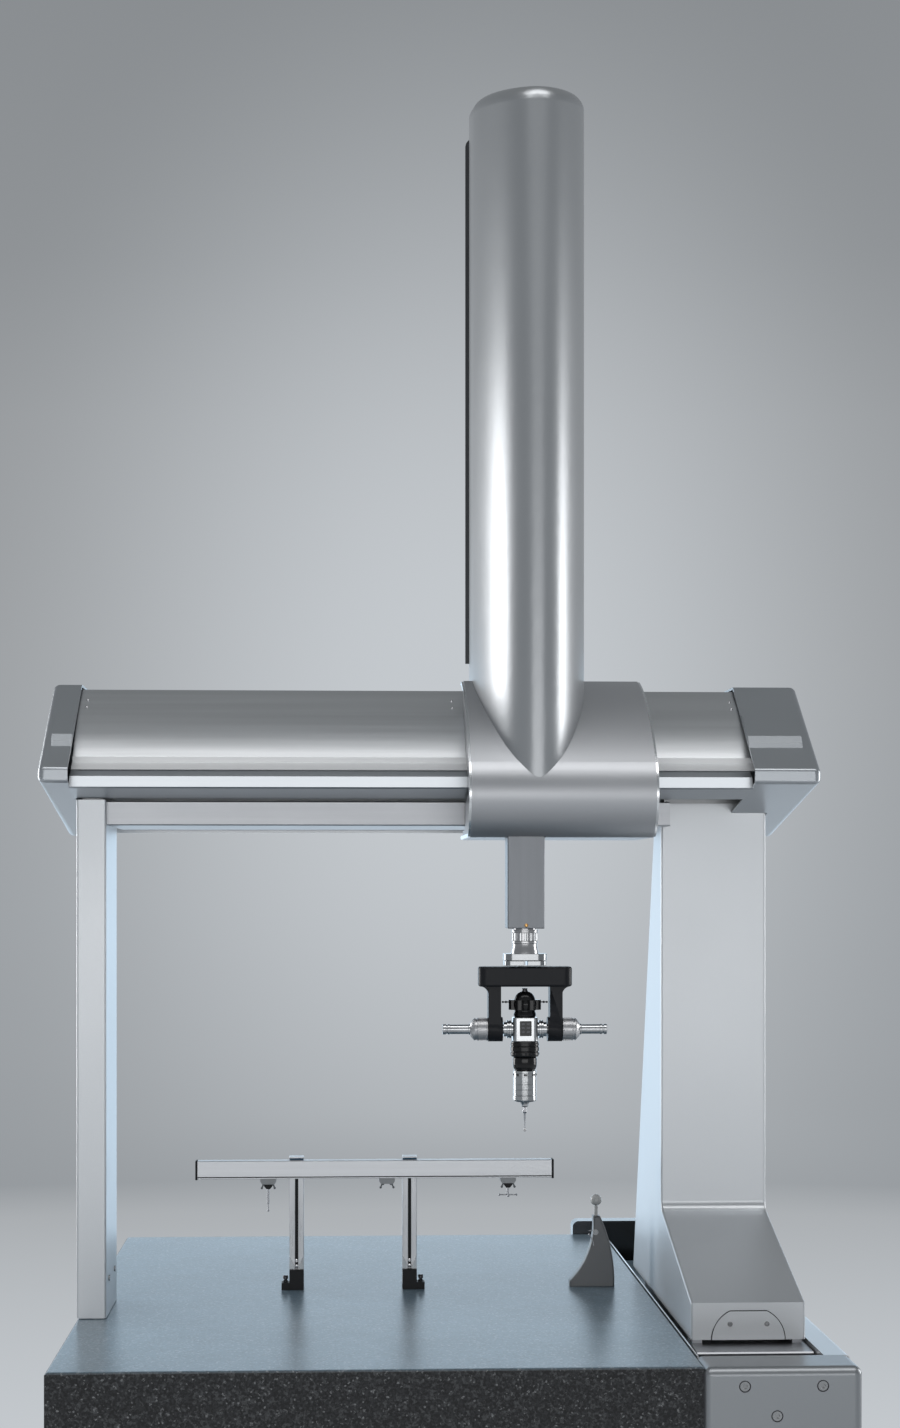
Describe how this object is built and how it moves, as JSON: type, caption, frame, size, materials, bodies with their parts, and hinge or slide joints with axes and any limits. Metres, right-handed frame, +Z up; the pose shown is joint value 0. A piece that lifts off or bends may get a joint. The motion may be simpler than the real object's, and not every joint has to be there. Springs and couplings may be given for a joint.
{
  "type": "coordinate measuring machine",
  "caption": "Moving-bridge coordinate measuring machine with a granite table, carriage, vertical ram, swivelling probe head and a stylus rack.",
  "frame": {"origin": "floor level under the levelling feet, at the centre of the machine's overall footprint in the rest pose", "axes": "+X along the beam to the operator's right, +Y away from the operator along the bridge's travel, +Z up the ram"},
  "size_m": [1, 1.138, 2.486],
  "materials": {
    "stand_paint": "smooth satin powder coat",
    "rubber_black": "matte moulded rubber",
    "granite": "lapped dark granite with fine pale specks",
    "guide_granite": "lapped dark granite",
    "scale_steel": "bright ground steel strip",
    "cover_silver": "metallic silver paint",
    "cap_grey": "metallic grey paint",
    "hood_grey": "dark metallic grey paint",
    "trim_bright": "bright brushed trim",
    "plate_zinc": "zinc-plated sheet",
    "black_paint": "black textured paint",
    "frame_aluminium": "milled aluminium",
    "pad_aluminium": "hard-anodised air bearing",
    "ram_aluminium": "hard-anodised and ground",
    "screw_steel": "bright plated screw heads",
    "head_chrome": "polished chrome",
    "head_black": "black anodised",
    "adapter_steel": "turned steel with a brass screw",
    "motor_black": "satin black motor casing",
    "wheel_plastic": "polyurethane tread on a hub",
    "stylus_steel": "ground stainless stem with a ruby ball",
    "rack_aluminium": "clear anodised",
    "rack_black": "black moulded plastic",
    "ball_ceramic": "polished white ceramic"
  },
  "bodies": {
    "base": {"stand_frame": "stand_paint", "levelling_feet": "plate_zinc", "isolation_pads": "rubber_black", "granite_table": "granite", "bridge_guide_rail": "guide_granite", "guide_strips": "scale_steel", "bridge_end_buffers": "rubber_black", "guide_cover": "cover_silver", "guide_front_cap": "cap_grey", "cap_mounting_plate": "plate_zinc", "guide_rear_housing": "black_paint", "base_screws": "screw_steel", "rack_bar": "rack_aluminium", "rack_posts": "rack_aluminium", "rack_feet": "rack_black", "rack_garages": "rack_black", "stored_styli": "stylus_steel", "sphere_stand": "head_black", "reference_sphere": "ball_ceramic"},
    "bridge": {"right_leg_cover": "cover_silver", "leg_access_cover": "cover_silver", "leg_scraper_plate": "plate_zinc", "bridge_carriage": "frame_aluminium", "left_leg_cover": "cover_silver", "bridge_air_pads": "pad_aluminium", "bridge_frame": "frame_aluminium", "beam_core": "frame_aluminium", "beam_upper_cover": "cover_silver", "beam_front_rail": "trim_bright", "beam_lower_cover": "cap_grey", "beam_cable_duct": "plate_zinc", "beam_rear_cover": "cover_silver", "beam_end_caps": "cover_silver", "bridge_screws": "screw_steel", "bridge_drive_motor": "motor_black"},
    "carriage": {"carriage_cover": "hood_grey", "carriage_cover_strips": "trim_bright", "column_cover": "cover_silver", "column_rear_plate": "plate_zinc", "ram_guides": "pad_aluminium", "carriage_saddle": "frame_aluminium", "carriage_air_pads": "pad_aluminium", "column_frame": "frame_aluminium", "balance_rod": "head_chrome", "carriage_drive_motor": "motor_black", "ram_drive_motor": "motor_black"},
    "ram": {"z_ram": "ram_aluminium", "ram_end_plates": "plate_zinc", "balance_tube": "rack_aluminium", "head_mount": "adapter_steel"},
    "yoke": {"head_yoke": "head_black", "tilt_side_units": "head_chrome"},
    "probe": {"probe_head_block": "head_chrome", "head_lock_knob": "head_chrome", "probe_mount": "head_black", "touch_probe": "head_chrome"},
    "stylus": {"stylus": "stylus_steel"},
    "bridge_wheel": {"bridge_drive_wheel": "wheel_plastic"},
    "carriage_wheel": {"carriage_drive_wheel": "wheel_plastic"},
    "ram_wheel": {"ram_drive_wheel": "wheel_plastic"}
  },
  "joints": [
    {"name": "y_travel", "type": "slide", "parent": "base", "child": "bridge", "axis": [0, 1, 0], "range_m": [-0.1, 0.323]},
    {"name": "x_travel", "type": "slide", "parent": "bridge", "child": "carriage", "axis": [1, 0, 0], "range_m": [-0.46, 0.035]},
    {"name": "z_travel", "type": "slide", "parent": "carriage", "child": "ram", "axis": [0, 0, 1], "range_m": [-0.245, 0.115]},
    {"name": "wrist_turn", "type": "hinge", "parent": "ram", "child": "yoke", "pos_m": [0.1169, -0.316, 1.31], "axis": [0, 0, 1], "range_deg": [-180, 180]},
    {"name": "wrist_tilt", "type": "hinge", "parent": "yoke", "child": "probe", "pos_m": [0.1169, -0.316, 1.242], "axis": [1, 0, 0], "range_deg": [-100, 100]},
    {"name": "probe_touch", "type": "slide", "parent": "probe", "child": "stylus", "axis": [0, 0, 1], "range_m": [0, 0.003], "stiffness_N_per_m": 50, "springref_m": -0.001},
    {"name": "bridge_wheel_turn", "type": "hinge", "parent": "bridge", "child": "bridge_wheel", "pos_m": [0.358, -0.115, 0.69995], "axis": [1, 0, 0], "range_deg": [-290, 930]},
    {"name": "carriage_wheel_turn", "type": "hinge", "parent": "carriage", "child": "carriage_wheel", "pos_m": [0.162, -0.02495, 1.59], "axis": [0, 0, 1], "range_deg": [-105, 1325]},
    {"name": "ram_wheel_turn", "type": "hinge", "parent": "carriage", "child": "ram_wheel", "pos_m": [0.119, -0.27195, 1.79], "axis": [1, 0, 0], "range_deg": [-335, 705]}
  ],
  "couplings": [
    {"joint": "bridge_wheel_turn", "follows": "y_travel", "rad_per_m": 50},
    {"joint": "carriage_wheel_turn", "follows": "x_travel", "rad_per_m": -50},
    {"joint": "ram_wheel_turn", "follows": "z_travel", "rad_per_m": -50}
  ]
}
